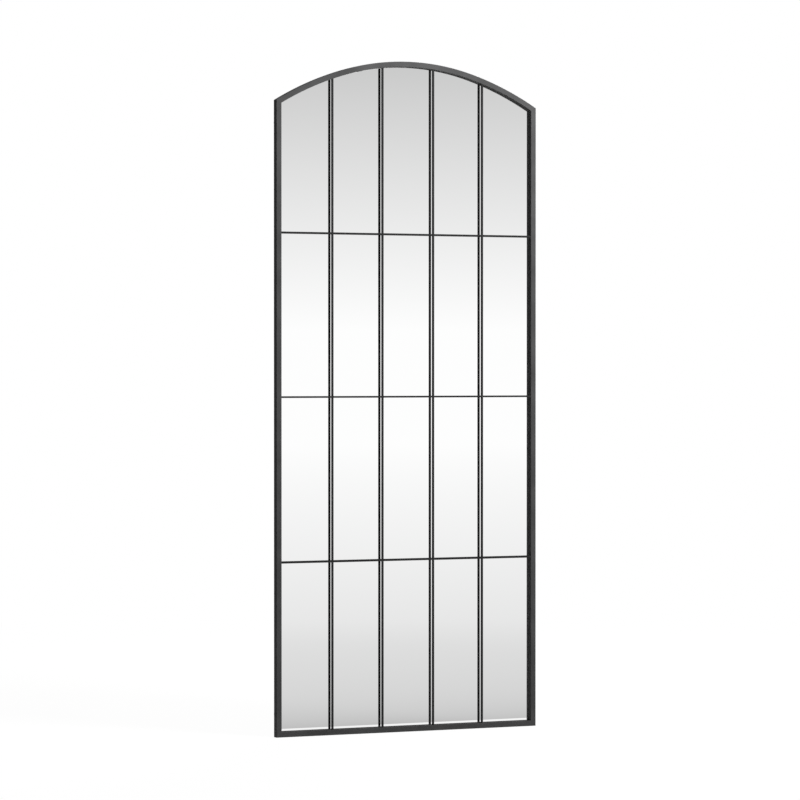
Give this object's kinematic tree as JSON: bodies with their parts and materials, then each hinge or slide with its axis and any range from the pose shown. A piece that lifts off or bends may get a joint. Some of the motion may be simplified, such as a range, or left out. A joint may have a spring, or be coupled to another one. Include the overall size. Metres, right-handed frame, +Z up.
{
  "type": "arched window mirror",
  "caption": "Tall wall mirror with a shallow arched top, a thin dark tube frame and a slim window-style grille of bars in front of the glass.",
  "frame": {"origin": "on the wall plane, midway between the two wall hooks, at the height where the raised hanger rings rest on them", "axes": "+X to the right as seen from the front, +Y from the front of the mirror into the wall, +Z up"},
  "size_m": [0.76, 0.028, 1.8],
  "materials": {
    "frame_paint": "satin charcoal powder coat",
    "silvered_glass": "polished",
    "foam_tape": "matte white foam",
    "fibreboard": "smooth brown hardboard",
    "zinc_steel": "bright zinc plate",
    "black_rubber": "matte"
  },
  "bodies": {
    "mirror": {"left_stile": "frame_paint", "right_stile": "frame_paint", "bottom_rail": "frame_paint", "arch_head": "frame_paint", "mullion_1": "frame_paint", "mullion_2": "frame_paint", "mullion_3": "frame_paint", "mullion_4": "frame_paint", "transom_lower": "frame_paint", "transom_middle": "frame_paint", "transom_upper": "frame_paint", "hanging_rail": "frame_paint", "mirror_glass": "silvered_glass", "mounting_tape": "foam_tape", "backing_board": "fibreboard", "retaining_tabs": "zinc_steel", "tab_screws": "zinc_steel", "tab_bolts": "zinc_steel", "tab_nuts": "zinc_steel", "rail_screws": "zinc_steel", "hanger_strap_left": "zinc_steel", "hanger_strap_right": "zinc_steel", "hanger_rivets": "zinc_steel", "wall_bumpers": "black_rubber"},
    "left_ring": {"hanger_ring_left": "zinc_steel"},
    "right_ring": {"hanger_ring_right": "zinc_steel"}
  },
  "joints": [
    {"name": "left_ring_swing", "type": "hinge", "parent": "mirror", "child": "left_ring", "pos_m": [-0.25, -0.0029, -0.02], "axis": [-1, 0, 0], "range_deg": [0, 180]},
    {"name": "right_ring_swing", "type": "hinge", "parent": "mirror", "child": "right_ring", "pos_m": [0.25, -0.0029, -0.02], "axis": [-1, 0, 0], "range_deg": [0, 180]}
  ]
}
